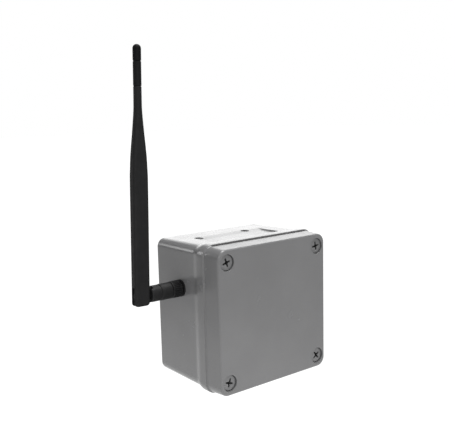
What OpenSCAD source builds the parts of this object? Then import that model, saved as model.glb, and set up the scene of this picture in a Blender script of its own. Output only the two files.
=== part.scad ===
// Outdoor wireless bridge: a die-cast wall box with a swivel whip antenna.
// X runs across the box, Y runs through the wall (the lid faces -Y), Z is up.
// The origin is the middle of the four wall holes, on the back face.

/* [Enclosure] */
// Width across the flange
box_w = 120; // [118:1:130]
// Height across the flange
box_h = 122; // [120:1:132]
// Depth from the wall face to the lid face
box_d = 86; // [84:1:96]
// Radius of the four long corners
corner_r = 10; // [9:0.5:11]
// Depth of the lid
lid_d = 15.3; // [14.5:0.1:16]
// Height of the open seam between lid and flange
seam_gap = 1.7; // [1.4:0.1:2]
// Depth of the full-size flange around the mouth of the base
flange_d = 6.5; // [5.5:0.5:7.5]
// How far the base steps in behind its flange
flange_step = 1.8; // [1.4:0.1:2]
// How far the lid is set in from the flange
lid_step = 1.2; // [0.8:0.1:1.4]
// Draft of the base from the flange to the wall face
base_draft = 0.9; // [0.6:0.1:1]

/* [Lid screws] */
// Distance of each lid screw from the middle of the lid, along X and Z
screw_pos = 48.6; // [48:0.2:49.4]
// Diameter of the pan head
head_d = 12.4; // [11:0.2:12.6]
// Thread diameter of the lid screws
screw_d = 6; // [5:0.5:6]

/* [Wall mounting] */
// Spacing of the wall holes along X
wall_dx = 79; // [77:1:81]
// Spacing of the wall holes along Z
wall_dz = 103; // [101:1:104]
// Diameter of the wall holes
wall_hole_d = 6.5; // [5:0.5:7]

/* [Antenna] */
// Height of the connector axis above the middle of the box
ant_z = 21.3; // [10:0.1:26]
// Distance of the connector axis from the wall face
ant_y = 34.4; // [32:0.1:36]
// Distance of the elbow pin from the middle of the box
elbow_x = 95.9; // [95:0.1:98]
// Height of the antenna tip above the elbow pin
ant_len = 195.2; // [190:0.1:220]
// Width of the flat part of the antenna
blade_w = 13.6; // [13:0.1:14]
// Thickness of the flat part of the antenna
blade_t = 7.6; // [7.2:0.1:8]
// Diameter of the slim upper part
rod_d = 6.3; // [6:0.1:6.6]
// Lean of the antenna towards the box, past square
lean = 1.8; // [0:0.1:3]

/* [Cable gland] */
// Height of the cable gland, below the middle of the box
gland_drop = 12; // [8:1:16]
// Clear bore of the rubber seal insert
cable_bore_d = 9; // [7:0.5:10]

/* [Board] */
// Width of the main board
board_w = 84; // [82:1:86]
// Height of the main board
board_h = 64; // [62:1:66]

/* [Hidden] */
$fn = 64;
tiny = 0.01;
front_y = -box_d;
seam_y = front_y + lid_d;
flange_y = seam_y + seam_gap;
step_y = flange_y + flange_d;
body_y = step_y + 7.5;
pad_y = seam_y + 0.2;
pad_r = 5.6;
rim_y = seam_y + 0.9;
floor_y = -4.2;
panel_x = 36.5;

// Inside of the box: a wide middle and a tall middle, round the corner blocks
wide_x = box_w / 2 - 5.6;
wide_z = 40;
tall_x = 31;
tall_z = box_h / 2 - 6.2;
inner_r = 4;

// Lid
lid_draft = 0.9;
lid_fillet = 1.8;
lid_wall = 3;
lip_w = 1.3;
lip_y = flange_y - 0.3;
open_seam_x = 51;
gasket_w = 2.7;
gasket_y = seam_y - 3;
head_h = 2.8;
head_drop = 1.2;
seat_y = front_y + head_drop + head_h;
head_turns = [-18, 38, 18, 9];

// Stack on the floor of the base
boss_y = -9;
plate_t = 2;
plate_y = boss_y - plate_t;
standoff_h = 6;
board_back_y = plate_y - standoff_h;
board_t = 1.6;
board_y = board_back_y - board_t;
plate_screw_x = 44;
plate_screw_z = 31;
board_screw_x = board_w / 2 - 4.5;
board_screw_z = board_h / 2 - 4.5;
earth_z = -47;

// Coaxial connector, as distances from the middle of the box along -X
spot_x = box_w / 2 - 2.4;
jack_r = 5.55;
jack_flange = 7;
jack_end = 64.6;
nut_near = 59.7;
nut_far = 68.6;
nut_r = 7;
plug_r = 4.5;
run = 0.08;
knuckle_near = 69;
collar_far = 79.2;
collar_r = 6.8;
neck_r = 6.6;
tongue_t = 3.2;
pin_r = 1.5;

// Antenna, as heights above the elbow pin
blade_foot = -7.7;
foot_round = 2.5;
foot_reach = norm([blade_w / 2 - foot_round, blade_foot + foot_round]) + foot_round;
neck_far = elbow_x - blade_w / 2 - 0.55;
fork_near = elbow_x - foot_reach - 0.3;
eye_r = 6.2;
slot_top = 7.4;
flat_top = 98;
taper_mid = 123.5;
taper_top = 148.5;
sleeve_low = 163.1;
cap_low = 181.9;
core_low = 11;

// Gland, as distances from the middle of the box along +X
gland_y = -36;
gland_r = 10;
gland_hex_r = 13.8;
gland_spot = box_w / 2 - 2.4;
gland_body = gland_spot + 1.5;
gland_neck = gland_body + 5;
cap_near = gland_neck + 0.4;
cap_far = cap_near + 16.6;
gland_in = 46;

// ---- Shared shapes ----

// Draws a flat XZ outline as a slab between two depths
module slab(y_low, y_high) {
    translate([0, y_high, 0]) rotate([90, 0, 0]) linear_extrude(y_high - y_low) children();
}

// Rounded rectangle, centred
module rounded_rect(w, h, r) {
    square([w - 2 * r, h], center = true);
    square([w, h - 2 * r], center = true);
    for (sx = [-1, 1], sz = [-1, 1])
        translate([sx * (w / 2 - r), sz * (h / 2 - r)]) circle(r);
}

// Outline of the box, drawn in by the same amount on every side
module box_outline(inset) {
    rounded_rect(box_w - 2 * inset, box_h - 2 * inset, corner_r - inset);
}

// Outline of the inside of the box, grown by the same amount on every side
module cavity_outline(grow) {
    rounded_rect(2 * (wide_x + grow), 2 * (wide_z + grow), inner_r + grow);
    rounded_rect(2 * (tall_x + grow), 2 * (tall_z + grow), inner_r + grow);
}

// Cylinder along Y between two depths
module rod_y(x, z, r, y_low, y_high) {
    translate([x, y_high, z]) rotate([90, 0, 0]) cylinder(r = r, h = y_high - y_low);
}

// Tube along Y between two depths
module tube_y(x, z, r, bore_r, y_low, y_high) {
    difference() {
        rod_y(x, z, r, y_low, y_high);
        rod_y(x, z, bore_r, y_low - 1, y_high + 1);
    }
}

// Box from its lowest and highest corners
module block(low, high) {
    translate(low) cube(high - low);
}

// Places its children at the four corners of a rectangle
module at_corners(x, z) {
    for (sx = [-1, 1], sz = [-1, 1]) translate([sx * x, 0, sz * z]) children();
}

// Pan-head screw along +Y, its seat at y = 0 and its head towards -Y
module pan_screw(shank_r, length, pan_r, pan_h, turn) {
    difference() {
        union() {
            rod_y(0, 0, shank_r, 0, length);
            rotate([90, 0, 0]) rotate_extrude()
                polygon(concat([[0, 0], [pan_r, 0]],
                    [for (a = [0:15:90]) [pan_r - pan_h * 0.45 * (1 - cos(a)),
                                          pan_h * (0.7 + 0.3 * sin(a))]],
                    [[0, pan_h]]));
        }
        for (a = [0, 90]) rotate([0, turn + a, 0])
            block([-pan_r * 0.6, -pan_h - 1, -pan_r * 0.1], [pan_r * 0.6, -pan_h * 0.45, pan_r * 0.1]);
    }
}

// ---- Enclosure ----

// Outside of the base: flange, step and drafted body
module base_outside() {
    slab(flange_y, step_y) box_outline(0);
    hull() {
        slab(step_y - tiny, step_y) box_outline(0, $fn = 32);
        slab(body_y - tiny, body_y) box_outline(flange_step, $fn = 32);
    }
    hull() {
        slab(body_y - tiny, body_y) box_outline(flange_step, $fn = 32);
        slab(-2, -1) box_outline(flange_step + base_draft, $fn = 32);
    }
    slab(-1, 0) box_outline(flange_step + base_draft + 0.6);
}

// Shallow panel in the top and the bottom of the base, between the corner columns
module base_panels() {
    depth = flange_step + base_draft + 0.5;
    for (s = [-1, 1])
        translate([0, 0, s * (box_h / 2 - depth + 5)])
            block([-panel_x, body_y + 0.5, -5], [panel_x, -18, 5]);
}

module enclosure_base() {
    color("dimgray") difference() {
        union() {
            difference() {
                union() {
                    base_outside();
                    slab(rim_y, flange_y + 1) cavity_outline(gasket_w);
                    at_corners(screw_pos, screw_pos) rod_y(0, 0, pad_r, pad_y, flange_y + 1);
                }
                slab(front_y, floor_y) cavity_outline(0);
                base_panels();
            }
            at_corners(plate_screw_x, plate_screw_z) rod_y(0, 0, 4.5, boss_y, floor_y + 1);
            rod_y(0, earth_z, 4.5, boss_y, floor_y + 1);
        }
        at_corners(wall_dx / 2, wall_dz / 2) {
            rod_y(0, 0, wall_hole_d / 2, -20, 1);
            rod_y(0, 0, 4.8, front_y, -9);
        }
        at_corners(screw_pos, screw_pos) rod_y(0, 0, screw_d / 2 + 0.05, front_y, -46);
        at_corners(plate_screw_x, plate_screw_z) rod_y(0, 0, 2, boss_y - 1, -3);
        rod_y(0, earth_z, 2, boss_y - 1, -3);
        translate([0, -ant_y, ant_z]) rotate([0, -90, 0]) {
            cylinder(r = jack_r + 0.05, h = box_w);
            translate([0, 0, spot_x]) cylinder(r = jack_flange + 0.6, h = 10);
        }
        translate([0, gland_y, -gland_drop]) rotate([0, 90, 0]) {
            cylinder(r = gland_r + 0.1, h = box_w);
            translate([0, 0, gland_spot]) cylinder(r = gland_hex_r + 0.6, h = 10);
        }
    }
}

// Lip behind the lid that closes the seam along the sides and round the corners
module lid_lip() {
    difference() {
        slab(seam_y - 0.1, lip_y) box_outline(lid_step);
        slab(seam_y - 2, lip_y + 1) box_outline(lid_step + lip_w);
        block([-open_seam_x, seam_y - 2, -box_h], [open_seam_x, lip_y + 1, box_h]);
    }
}

module enclosure_lid() {
    color("gray") {
        lid_shell();
        lid_lip();
    }
}

module lid_shell() {
    difference() {
        hull() {
            slab(seam_y - tiny, seam_y) box_outline(lid_step, $fn = 32);
            for (a = [0:22.5:90])
                translate([0, front_y + lid_fillet * (1 - sin(90 - a)), 0])
                    slab(0, tiny)
                        box_outline(lid_step + lid_draft + lid_fillet * (1 - cos(90 - a)), $fn = 32);
        }
        slab(front_y + lid_wall, seam_y + 1) cavity_outline(0);
        slab(gasket_y, seam_y + 1) cavity_outline(gasket_w + 0.2);
        at_corners(screw_pos, screw_pos) {
            rod_y(0, 0, head_d / 2 + 0.7, front_y - 1, seat_y);
            rod_y(0, 0, screw_d / 2 + 0.3, front_y, seam_y + 1);
            rod_y(0, 0, 5.2, seam_y - 2.2, seam_y + 1);
        }
    }
}

module lid_gasket() {
    color("black") difference() {
        slab(gasket_y, rim_y - 0.1) cavity_outline(gasket_w);
        slab(gasket_y - 1, rim_y + 1) cavity_outline(0.3);
    }
}

module lid_screws() {
    for (i = [0:3])
        color("darkgray")
            translate([(i % 2 == 0 ? -1 : 1) * screw_pos, seat_y, (i < 2 ? -1 : 1) * screw_pos])
                pan_screw(screw_d / 2, lid_d + 15, head_d / 2, head_h, head_turns[i]);
}

module lid_screw_retainers() {
    color("black") at_corners(screw_pos, screw_pos)
        tube_y(0, 0, 5, screw_d / 2 + 0.02, seam_y - 2.1, seam_y - 0.1);
}

// ---- Board stack ----

module mounting_plate() {
    color("silver") difference() {
        slab(plate_y, boss_y) rounded_rect(100, 74, 4);
        at_corners(plate_screw_x, plate_screw_z) rod_y(0, 0, 2.2, plate_y - 1, boss_y + 1);
        at_corners(board_screw_x, board_screw_z) rod_y(0, 0, 1.6, plate_y - 1, boss_y + 1);
    }
}

module plate_screws() {
    color("silver") at_corners(plate_screw_x, plate_screw_z)
        translate([0, plate_y, 0]) pan_screw(1.98, 7, 3.9, 2.4, 20);
}

module board_standoffs() {
    color("goldenrod") at_corners(board_screw_x, board_screw_z) difference() {
        rotate([90, 0, 0]) translate([0, 0, -plate_y]) cylinder(r = 3.2, h = standoff_h, $fn = 6);
        rod_y(0, 0, 1.5, board_back_y - 1, plate_y + 1);
    }
}

module main_board() {
    color("darkgreen") difference() {
        slab(board_y, board_back_y) rounded_rect(board_w, board_h, 2);
        at_corners(board_screw_x, board_screw_z) rod_y(0, 0, 1.6, board_y - 1, board_back_y + 1);
    }
}

module board_screws() {
    color("silver") at_corners(board_screw_x, board_screw_z)
        translate([0, board_y, 0]) pan_screw(1.48, 6, 2.8, 1.8, 35);
}

// Part on the front of the board, from its middle, its size and its height
module on_board(x, z, w, h, height) {
    block([x - w / 2, board_y - height, z - h / 2], [x + w / 2, board_y, z + h / 2]);
}

module processor_chip() {
    color("black") on_board(-14, 16, 17, 17, 1.8);
}

module processor_heat_sink() {
    sink_y = board_y - 1.8;
    color("dimgray") {
        block([-24, sink_y - 2, 6], [-4, sink_y, 26]);
        for (i = [0:6]) block([-24 + i * 3, sink_y - 8, 6], [-22 + i * 3, sink_y - 1, 26]);
    }
}

module memory_chips() {
    color("black") for (z = [6, 18]) on_board(-33.5, z, 9, 11, 1.2);
}

module radio_card() {
    color("green") block([-40, -25.6, -30], [11, -24.6, 0]);
}

module radio_card_slot() {
    color("ivory") difference() {
        on_board(10.5, -15, 6, 31, 8.5);
        block([7, -25.7, -30.1], [11.1, -24.5, 0.1]);
    }
}

module radio_shield() {
    color("silver") difference() {
        block([-22, -28.6, -27], [2, -25.6, -3]);
        block([-21.6, -28.2, -26.6], [1.6, -25, -3.4]);
    }
}

module ethernet_jack() {
    color("silver") difference() {
        block([24.5, board_y - 13.5, -22], [45.5, board_y, -6]);
        block([31, board_y - 11, -20], [46, board_y - 3, -8]);
        block([34, board_y - 12.4, -17], [46, board_y - 10, -11]);
    }
}

module ethernet_contacts() {
    color("gold") for (i = [0:7])
        translate([31, board_y - 3.6, -17.9 + i * 1.02]) cube([10, 0.5, 0.5]);
}

module ethernet_transformer() {
    color("black") on_board(19, -14, 7, 14, 6);
}

module power_terminal_block() {
    color("green") difference() {
        on_board(37, 12, 10, 18, 10);
        for (i = [-1:1]) {
            translate([32, board_y - 4, 12 + i * 5.4]) rotate([0, 90, 0]) cylinder(r = 1.6, h = 12);
            rod_y(37, 12 + i * 5.4, 2, board_y - 11, board_y - 7);
        }
    }
}

module power_terminal_screws() {
    color("silver") for (i = [-1:1]) difference() {
        rod_y(37, 12 + i * 5.4, 1.9, board_y - 9.4, board_y - 7);
        block([35, board_y - 10, 11.7 + i * 5.4], [39, board_y - 8.8, 12.3 + i * 5.4]);
    }
}

module board_capacitors() {
    color("navy") for (x = [8, 18]) rod_y(x, 25, 4, board_y - 11.5, board_y);
}

module power_inductor() {
    color("dimgray") difference() {
        on_board(12, 11, 9, 9, 4);
        for (s = [-1, 1]) block([12 + s * 5 - 1, board_y - 5, 9], [12 + s * 5 + 1, board_y - 1, 13]);
    }
}

module status_lamps() {
    color("lime") for (x = [-8, -3, 2]) on_board(x, 29.5, 2, 1.2, 1);
}

module reset_switch() {
    color("dimgray") difference() {
        on_board(29, 27, 6, 6, 3.6);
        rod_y(29, 27, 1.8, board_y - 4, board_y - 1.4);
    }
}

module reset_button() {
    color("black") rod_y(29, 27, 1.72, board_y - 5.4, board_y - 2.2);
}

module earth_screw() {
    color("gold") translate([0, boss_y - 1, earth_z]) pan_screw(1.98, 6, 3.9, 2.4, 10);
}

module earth_washer() {
    color("gold") tube_y(0, earth_z, 4.4, 2.05, boss_y - 1, boss_y);
}

// ---- Connector through the left wall ----

// Places its children on the connector axis, with their +Z running out along -X
module on_connector() {
    translate([0, -ant_y, ant_z]) rotate([0, -90, 0]) children();
}

// Ring about +Z between two heights
module ring(r, bore_r, low, high) {
    translate([0, 0, low]) difference() {
        cylinder(r = r, h = high - low);
        translate([0, 0, -1]) cylinder(r = bore_r, h = high - low + 2);
    }
}

module bulkhead_jack() {
    color("goldenrod") on_connector() difference() {
        union() {
            ring(jack_r, 1, 46, jack_end);
            ring(jack_flange, 1, spot_x + 1, spot_x + 1.9);
            ring(3, 1, 40, 47);
        }
        translate([0, 0, 57]) cylinder(r = plug_r + 0.1, h = 12);
        translate([0, 0, 43]) cylinder(r = 2.4, h = 20);
    }
}

module bulkhead_seal() {
    color("black") on_connector() ring(jack_flange, jack_r + 0.05, spot_x, spot_x + 1);
}

module bulkhead_insulator() {
    color("white") on_connector() ring(2.35, 0.7, 44, 60);
}

module bulkhead_contact() {
    color("gold") on_connector() ring(0.68, 0.45, 43, 61.5);
}

module bulkhead_washer() {
    color("silver") on_connector() ring(7.6, jack_r + 0.05, wide_x - 0.8, wide_x);
}

module bulkhead_nut() {
    color("goldenrod") on_connector() translate([0, 0, wide_x - 4]) difference() {
        cylinder(r = 8.1, h = 3.2, $fn = 6);
        translate([0, 0, -1]) cylinder(r = jack_r + 0.05, h = 6);
    }
}

// Lead from the connector to the radio card, as a sweep of eight-sided rings
pigtail_route = [
    [-39.4, -ant_y, ant_z], [-36.2, -34.4, 20.8], [-33.2, -34.4, 19], [-31, -34.3, 16],
    [-30, -34.1, 12.3], [-30, -33.6, 8], [-30.2, -32.9, 4], [-31, -32.2, 0.5],
    [-32.4, -31.6, -2.6], [-34.2, -30.9, -4.8], [-35.6, -29.6, -5.8], [-36, -28.2, -6],
    [-36, -27.1, -6]
];
pigtail_r = 0.9;

function unit(v) = v / norm(v);
function heading(p, i) = unit(p[min(i + 1, len(p) - 1)] - p[max(i - 1, 0)]);
function side(d) = unit(cross(d, abs(d[1]) > 0.9 ? [1, 0, 0] : [0, 1, 0]));

// Tube along a list of points
module sweep(route, r, sides) {
    last = len(route) - 1;
    points = [for (i = [0:last]) let (d = heading(route, i), u = side(d), v = cross(d, u))
        for (k = [0:sides - 1]) route[i] + r * (cos(k * 360 / sides) * u + sin(k * 360 / sides) * v)];
    walls = [for (i = [0:last - 1], k = [0:sides - 1])
        [i * sides + k, i * sides + (k + 1) % sides,
         (i + 1) * sides + (k + 1) % sides, (i + 1) * sides + k]];
    polyhedron(points, concat(walls,
        [[for (k = [sides - 1:-1:0]) k]],
        [[for (k = [0:sides - 1]) last * sides + k]]));
}

module coax_pigtail() {
    color("black") sweep(pigtail_route, pigtail_r, 8);
}

module pigtail_plug() {
    color("gold") rod_y(-36, -6, 1.5, -27, -25.6);
}

// ---- Antenna ----

module antenna_coupling_nut() {
    grooves = 28;
    color([0.12, 0.12, 0.12]) on_connector() difference() {
        translate([0, 0, nut_near]) rotate_extrude()
            polygon([[0, 0], [nut_r - 0.7, 0], [nut_r, 0.8], [nut_r, nut_far - nut_near - 0.8],
                     [nut_r - 0.7, nut_far - nut_near], [0, nut_far - nut_near]]);
        translate([0, 0, nut_near - 1]) cylinder(r = jack_r + 0.1, h = nut_far - nut_near - 0.9);
        translate([0, 0, nut_near]) cylinder(r = plug_r + run, h = 20);
        for (i = [0:grooves - 1]) rotate([0, 0, i * 360 / grooves])
            translate([nut_r + 0.2, 0, nut_near + 1])
                cylinder(r = 0.5, h = nut_far - nut_near - 2, $fn = 16);
    }
}

module antenna_plug() {
    color("goldenrod") on_connector() {
        ring(plug_r, 3.4, 61, 77);
        ring(5.4, 3.4, 64.8, 66.4);
    }
}

module antenna_plug_insulator() {
    color("white") on_connector() ring(3.35, 0.75, 63, 76.5);
}

module antenna_plug_pin() {
    color("gold") on_connector() translate([0, 0, 62]) cylinder(r = 0.7, h = 16);
}

module antenna_knuckle() {
    fork_y = blade_t / 2 + 0.3;
    color([0.16, 0.16, 0.16]) on_connector() difference() {
        union() {
            difference() {
                translate([0, 0, knuckle_near]) rotate_extrude()
                    polygon([[0, 0], [collar_r - 0.5, 0], [collar_r, 0.5],
                             [collar_r, collar_far - knuckle_near - 0.6],
                             [collar_r - 0.6, collar_far - knuckle_near],
                             [neck_r, collar_far - knuckle_near + 0.3],
                             [neck_r, neck_far - knuckle_near - 0.4],
                             [neck_r - 0.4, neck_far - knuckle_near], [0, neck_far - knuckle_near]]);
                block([-10, -fork_y, fork_near], [10, fork_y, elbow_x]);
            }
            block([-eye_r, -tongue_t / 2, fork_near - 1], [eye_r, tongue_t / 2, elbow_x]);
            translate([0, 0, elbow_x]) rotate([90, 0, 0])
                cylinder(r = eye_r, h = tongue_t, center = true);
        }
        translate([0, 0, knuckle_near - 1]) cylinder(r = plug_r + run, h = 78 - knuckle_near + 1);
        translate([0, 0, elbow_x]) rotate([90, 0, 0]) cylinder(r = pin_r, h = 20, center = true);
        cylinder(r = 1.4, h = fork_near - 2);
    }
}

// Places its children on the elbow pin, with their +Z running up the antenna
module on_elbow() {
    translate([-elbow_x, -ant_y, ant_z]) rotate([0, lean, 0]) children();
}

module antenna_elbow_pin() {
    color("silver") on_elbow() rotate([90, 0, 0]) cylinder(r = pin_r, h = blade_t - 0.6, center = true);
}

// Flat lower part, with its lower corners rounded so that it clears the fork
module blade_flat() {
    intersection() {
        translate([0, 0, blade_foot]) linear_extrude(flat_top - blade_foot)
            rounded_rect(blade_w, blade_t, 2);
        rotate([90, 0, 0]) linear_extrude(blade_t + 2, center = true) translate([0, flat_top])
            rounded_rect(blade_w, 2 * (flat_top - blade_foot), foot_round);
    }
}

// Thin slice across the antenna, for the taper
module blade_slice(z, w, t, r) {
    translate([0, 0, z]) linear_extrude(tiny) rounded_rect(w, t, r, $fn = 32);
}

module antenna_blade() {
    color([0.2, 0.2, 0.2]) on_elbow() difference() {
        union() {
            blade_flat();
            hull() {
                blade_slice(flat_top - tiny, blade_w, blade_t, 2);
                blade_slice(taper_mid, 10, 6.9, 2.6);
            }
            hull() {
                blade_slice(taper_mid, 10, 6.9, 2.6);
                translate([0, 0, taper_top - tiny]) cylinder(r = rod_d / 2, h = tiny, $fn = 32);
            }
            translate([0, 0, taper_top - tiny]) cylinder(r = rod_d / 2, h = sleeve_low - taper_top + tiny);
        }
        block([-blade_w, -tongue_t / 2 - 0.15, blade_foot - 1], [blade_w, tongue_t / 2 + 0.15, slot_top]);
        rotate([90, 0, 0]) cylinder(r = pin_r + 0.06, h = blade_t - 0.4, center = true);
        translate([0, 0, slot_top - 1]) cylinder(r = 2.5, h = taper_top - slot_top - 9);
        translate([0, 0, slot_top]) cylinder(r = 1.7, h = ant_len);
    }
}

module antenna_upper_sleeve() {
    color([0.14, 0.14, 0.14]) on_elbow() ring(rod_d / 2 + 0.05, 1.7, sleeve_low, cap_low);
}

module antenna_tip_cap() {
    color([0.1, 0.1, 0.1]) on_elbow() {
        top_r = rod_d / 2 + 0.1;
        difference() {
            union() {
                translate([0, 0, cap_low]) cylinder(r = top_r, h = ant_len - cap_low - top_r);
                translate([0, 0, ant_len - top_r]) sphere(r = top_r);
            }
            translate([0, 0, cap_low - 1]) cylinder(r = 1.7, h = 6);
        }
    }
}

module antenna_radiator() {
    color("goldenrod") on_elbow() translate([0, 0, 112]) cylinder(r = 0.8, h = cap_low + 4 - 112);
}

module antenna_choke() {
    color("goldenrod") on_elbow() ring(2.4, 1.3, 78, 111.9);
}

module antenna_feed_cable() {
    color("saddlebrown") on_elbow() translate([0, 0, core_low]) cylinder(r = 1.25, h = 111.9 - core_low);
}

// ---- Cable gland through the right wall ----

// Places its children on the gland axis, with their +Z running out along +X
module on_gland() {
    translate([0, gland_y, -gland_drop]) rotate([0, 90, 0]) children();
}

module gland_body() {
    color("dimgray") on_gland() difference() {
        union() {
            translate([0, 0, gland_in]) cylinder(r = gland_r, h = gland_neck + 7 - gland_in);
            translate([0, 0, gland_body]) cylinder(r = gland_hex_r, h = gland_neck - gland_body, $fn = 6);
        }
        translate([0, 0, gland_in - 1]) cylinder(r = 6.6, h = 40);
        translate([0, 0, gland_neck - 3]) cylinder(r = 8.2, h = 20);
    }
}

module gland_washer() {
    color("black") on_gland() ring(13, gland_r + 0.1, gland_spot, gland_body);
}

module gland_nut() {
    color("dimgray") on_gland() translate([0, 0, wide_x - 5]) difference() {
        cylinder(r = 13.4, h = 5, $fn = 6);
        translate([0, 0, -1]) cylinder(r = gland_r + 0.05, h = 8);
    }
}

module gland_seal() {
    color("black") on_gland() ring(7, cable_bore_d / 2, gland_neck - 3, gland_neck + 8);
}

module gland_claw_ring() {
    claws = 10;
    color("dimgray") on_gland() difference() {
        ring(8.1, 7.1, gland_neck - 2.9, gland_neck + 8);
        for (i = [0:claws - 1]) rotate([0, 0, i * 360 / claws])
            translate([6, -0.4, gland_neck]) cube([4, 0.8, 12]);
    }
}

module gland_cap_nut() {
    cap_r = 12.6;
    ribs = 12;
    color("dimgray") on_gland() difference() {
        union() {
            translate([0, 0, cap_near]) rotate_extrude()
                polygon([[0, 0], [cap_r - 0.5, 0], [cap_r, 0.5], [cap_r, 8],
                         [cap_r - 1.2, 12], [cap_r - 3.2, cap_far - cap_near - 0.6],
                         [cap_r - 4.2, cap_far - cap_near], [0, cap_far - cap_near]]);
            for (i = [0:ribs - 1]) rotate([0, 0, i * 360 / ribs])
                translate([cap_r - 1, -1, cap_near + 0.6]) cube([1.6, 2, 7.4]);
        }
        translate([0, 0, cap_near - 1]) cylinder(r = gland_r + 0.08, h = 8.2);
        translate([0, 0, cap_near]) cylinder(r = 8.3, h = 8.6);
        translate([0, 0, cap_near]) cylinder(r = 6.5, h = 30);
    }
}

enclosure_base();
enclosure_lid();
lid_gasket();
lid_screws();
lid_screw_retainers();
mounting_plate();
plate_screws();
board_standoffs();
main_board();
board_screws();
processor_chip();
processor_heat_sink();
memory_chips();
radio_card();
radio_card_slot();
radio_shield();
ethernet_jack();
ethernet_contacts();
ethernet_transformer();
power_terminal_block();
power_terminal_screws();
board_capacitors();
power_inductor();
status_lamps();
reset_switch();
reset_button();
earth_screw();
earth_washer();
coax_pigtail();
pigtail_plug();
bulkhead_jack();
bulkhead_seal();
bulkhead_insulator();
bulkhead_contact();
bulkhead_washer();
bulkhead_nut();
antenna_coupling_nut();
antenna_plug();
antenna_plug_insulator();
antenna_plug_pin();
antenna_knuckle();
antenna_elbow_pin();
antenna_blade();
antenna_upper_sleeve();
antenna_tip_cap();
antenna_radiator();
antenna_choke();
antenna_feed_cable();
gland_body();
gland_washer();
gland_nut();
gland_seal();
gland_claw_ring();
gland_cap_nut();
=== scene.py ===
import math

import bmesh
import bpy
from mathutils import Matrix, Vector


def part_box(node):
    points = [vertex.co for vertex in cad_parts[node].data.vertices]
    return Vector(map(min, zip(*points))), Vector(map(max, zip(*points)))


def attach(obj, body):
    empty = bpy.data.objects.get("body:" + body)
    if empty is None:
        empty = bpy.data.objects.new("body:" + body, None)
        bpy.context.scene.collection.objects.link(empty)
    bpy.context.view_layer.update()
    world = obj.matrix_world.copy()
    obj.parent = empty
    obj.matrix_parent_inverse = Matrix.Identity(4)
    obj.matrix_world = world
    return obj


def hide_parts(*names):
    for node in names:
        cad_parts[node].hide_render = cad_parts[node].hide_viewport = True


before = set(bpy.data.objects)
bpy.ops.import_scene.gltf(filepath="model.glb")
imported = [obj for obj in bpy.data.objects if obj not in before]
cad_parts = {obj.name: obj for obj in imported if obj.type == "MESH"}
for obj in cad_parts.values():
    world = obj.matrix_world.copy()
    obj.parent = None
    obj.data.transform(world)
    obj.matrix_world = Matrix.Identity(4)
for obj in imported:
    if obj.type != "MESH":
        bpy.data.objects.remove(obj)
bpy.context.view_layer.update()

MM = 0.001

# ---- Places taken from the frame, in millimetres ----


def low(node):
    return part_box(node)[0] / MM


def high(node):
    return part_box(node)[1] / MM


def middle(node):
    return (low(node) + high(node)) / 2


HALF_W, HALF_H = high("enclosure_base").x, high("enclosure_base").z
FRONT_Y = low("enclosure_lid").y
SEAM_Y = FRONT_Y + 15.3
FLANGE_Y = SEAM_Y + 1.7
LIP_Y = FLANGE_Y - 0.04
LIP_W = 1.3
OPEN_SEAM_X = 51
STEP_Y = FLANGE_Y + 6.5
FLANGE_EDGE = 0.6
BODY_Y = STEP_Y + 9.5
LID_STEP = HALF_W - high("enclosure_lid").x
CORNER = 10
BODY_INSET = 1.8
BACK_INSET = 2.7
LID_FRONT_INSET = LID_STEP + 0.9
LID_FILLET = 1.8
WIDE_X, WIDE_Z = HALF_W - 5.6, 40
TALL_X, TALL_Z = 31, HALF_H - 6.2
INNER_R = 4
FLOOR_Y = -4.2
BOSS_Y = -9
SCREW_POS = high("lid_screws").x - 6.2
SEAT_Y = FRONT_Y + 4.0
HEAD_R, HEAD_H = 6.4, 2.8
WALL_X, WALL_Z = 39.5, 51.5
WALL_BORE, WALL_SEAT = 3.25, 4.8
LID_SCREW_BORE, INSERT_BORE, BOSS_R = 3.05, 2, 4.5
PANEL_X, PANEL_DEPTH, PANEL_BACK = 36.5, 3.2, -18
JACK_SEAT, JACK_BORE = 7.6, 5.6
GLAND_SEAT, GLAND_BORE = 14.4, 10.1
SPOT_FACE = HALF_W - 2.4
PLATE_X, PLATE_Z = 44, 31
EARTH_Z = -47

NUT_LOW, NUT_HIGH = low("antenna_coupling_nut"), high("antenna_coupling_nut")
NUT_NEAR, NUT_FAR = -NUT_HIGH.x, -NUT_LOW.x
NUT_R = (NUT_HIGH.z - NUT_LOW.z) / 2
AXIS = middle("antenna_coupling_nut")
PIN = middle("antenna_elbow_pin")
KNUCKLE_NEAR = -high("antenna_knuckle").x
COLLAR_FAR = KNUCKLE_NEAR + 10.2
COLLAR_R, NECK_R = 6.8, 6.6
PLUG_BORE = 4.58
BLADE_W, BLADE_T = 13.6, high("antenna_blade").y - low("antenna_blade").y
BLADE_FOOT, FOOT_ROUND = -7.7, 2.5
FOOT_REACH = math.hypot(BLADE_W / 2 - FOOT_ROUND, BLADE_FOOT + FOOT_ROUND) + FOOT_ROUND
NECK_FAR = -PIN.x - BLADE_W / 2 - 0.55
FORK_NEAR = -PIN.x - FOOT_REACH - 0.3
TONGUE_T, EYE_R, SLOT_TOP = 3.2, 6.2, 7.4
SLEEVE_LOW, CAP_LOW = 163.1, 181.9
TIP_HEIGHT = 194.4
ROD_R = 3.15
LEAN = 1.8

CAP_NEAR, CAP_FAR = low("gland_cap_nut").x, high("gland_cap_nut").x
GLAND_AXIS = middle("gland_cap_nut")

CONNECTOR = Matrix.Translation((0, AXIS.y, AXIS.z)) @ Matrix.Rotation(math.radians(-90), 4, "Y")
ELBOW = Matrix.Translation(PIN) @ Matrix.Rotation(math.radians(LEAN), 4, "Y")
GLAND = (Matrix.Translation((0, GLAND_AXIS.y, GLAND_AXIS.z))
         @ Matrix.Rotation(math.radians(90), 4, "Y"))
FACING = Matrix.Rotation(math.radians(90), 4, "X")

# ---- Camera, from the middle of the lid's face ----


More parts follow.
